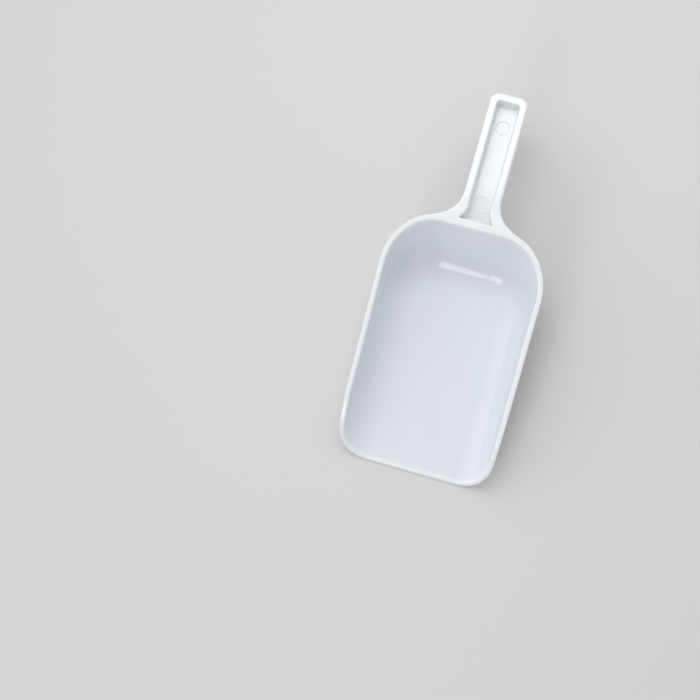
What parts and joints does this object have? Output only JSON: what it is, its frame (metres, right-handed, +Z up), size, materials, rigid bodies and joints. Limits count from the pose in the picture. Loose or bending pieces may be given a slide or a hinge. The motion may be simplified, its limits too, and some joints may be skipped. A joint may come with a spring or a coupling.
{
  "type": "ice scoop",
  "caption": "Flat-bottomed plastic ice scoop: a deep open-fronted bowl with a rim that slopes to the lip, and a straight channelled handle behind it.",
  "frame": {"origin": "on the surface that the flat bottom stands on, under the middle of the scoop's length and width", "axes": "+Z up out of the bowl, +Y along the handle away from the mouth, X across the scoop"},
  "size_m": [0.0772, 0.18, 0.038],
  "materials": {
    "white_plastic": "glossy moulded plastic, cool white"
  },
  "bodies": {
    "root": {"bowl": "white_plastic", "handle": "white_plastic"}
  },
  "joints": []
}
